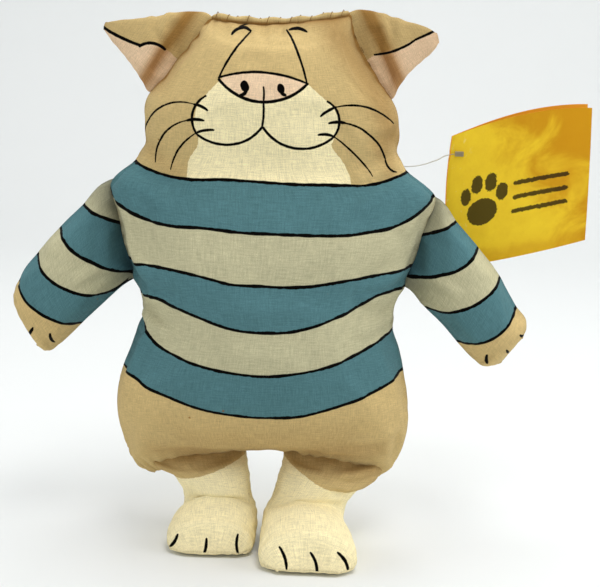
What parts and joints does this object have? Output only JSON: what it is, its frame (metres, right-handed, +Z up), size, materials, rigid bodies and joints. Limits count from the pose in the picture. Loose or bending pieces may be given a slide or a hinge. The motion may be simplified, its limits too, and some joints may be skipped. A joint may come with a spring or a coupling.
{
  "type": "plush cat",
  "caption": "Soft stuffed cat sewn from printed cotton panels, with flat ears, swinging stuffed arms and legs, and a folded card swing tag on a nylon pin.",
  "frame": {"origin": "on the floor, on the cat's middle plane and in the plane of its side seams, between its feet", "axes": "-Y is the way the cat faces, +X is its own left, +Z is up; the body is symmetric about X = 0"},
  "size_m": [0.2324, 0.0713, 0.2132],
  "materials": {
    "printed_cotton": "matte",
    "printed_cotton_legs": "matte",
    "printed_cotton_ears": "matte",
    "seam_edge": "matte",
    "sewing_thread": "matte",
    "fibre_stuffing": "matte",
    "nylon": "satin",
    "tag_card": "matte"
  },
  "bodies": {
    "torso": {"body_front_panel": "printed_cotton", "body_back_panel": "printed_cotton", "body_stuffing": "fibre_stuffing", "head_seam_ridge": "seam_edge", "head_closing_stitches": "sewing_thread", "tag_pin": "nylon"},
    "ear_left": {"ear_left_front_panel": "printed_cotton_ears", "ear_left_back_panel": "printed_cotton_ears", "ear_left_stitches": "sewing_thread"},
    "ear_right": {"ear_right_front_panel": "printed_cotton_ears", "ear_right_back_panel": "printed_cotton_ears", "ear_right_stitches": "sewing_thread"},
    "arm_left": {"arm_left_front_panel": "printed_cotton", "arm_left_back_panel": "printed_cotton", "arm_left_stuffing": "fibre_stuffing"},
    "arm_right": {"arm_right_front_panel": "printed_cotton", "arm_right_back_panel": "printed_cotton", "arm_right_stuffing": "fibre_stuffing"},
    "leg_left": {"leg_left_front_panel": "printed_cotton_legs", "leg_left_back_panel": "printed_cotton_legs", "leg_left_stuffing": "fibre_stuffing"},
    "leg_right": {"leg_right_front_panel": "printed_cotton_legs", "leg_right_back_panel": "printed_cotton_legs", "leg_right_stuffing": "fibre_stuffing"},
    "tag_front": {"tag_front_leaf": "tag_card"},
    "tag_back": {"tag_back_leaf": "tag_card"}
  },
  "joints": [
    {"name": "shoulder_left", "type": "hinge", "parent": "torso", "child": "arm_left", "pos_m": [0.0592, 0, 0.1266], "axis": [-0.1951, 0, -0.9808], "range_deg": [-12, 45], "stiffness_Nm_per_rad": 0.02},
    {"name": "shoulder_right", "type": "hinge", "parent": "torso", "child": "arm_right", "pos_m": [-0.0592, 0, 0.1266], "axis": [-0.1951, 0, 0.9808], "range_deg": [-40, 45], "stiffness_Nm_per_rad": 0.02},
    {"name": "hip_left", "type": "hinge", "parent": "torso", "child": "leg_left", "pos_m": [0.0285, 0, 0.0333], "axis": [-1, 0, 0], "range_deg": [-20, 60], "stiffness_Nm_per_rad": 0.1},
    {"name": "hip_right", "type": "hinge", "parent": "torso", "child": "leg_right", "pos_m": [-0.0285, 0, 0.0333], "axis": [-1, 0, 0], "range_deg": [-20, 60], "stiffness_Nm_per_rad": 0.1},
    {"name": "ear_left_fold", "type": "hinge", "parent": "torso", "child": "ear_left", "pos_m": [0.0388, 0, 0.1953], "axis": [0.5332, 0, -0.846], "range_deg": [-35, 35], "stiffness_Nm_per_rad": 0.003},
    {"name": "ear_right_fold", "type": "hinge", "parent": "torso", "child": "ear_right", "pos_m": [-0.0388, 0, 0.1953], "axis": [0.5332, 0, 0.846], "range_deg": [-35, 35], "stiffness_Nm_per_rad": 0.003},
    {"name": "tag_swing", "type": "hinge", "parent": "torso", "child": "tag_front", "pos_m": [0.075, 0.0252, 0.1585], "axis": [0, 1, 0], "range_deg": [-25, 50]},
    {"name": "tag_fold", "type": "hinge", "parent": "tag_front", "child": "tag_back", "pos_m": [0.075, 0.0257, 0.1385], "axis": [0, 0, 1], "range_deg": [0, 110]}
  ]
}
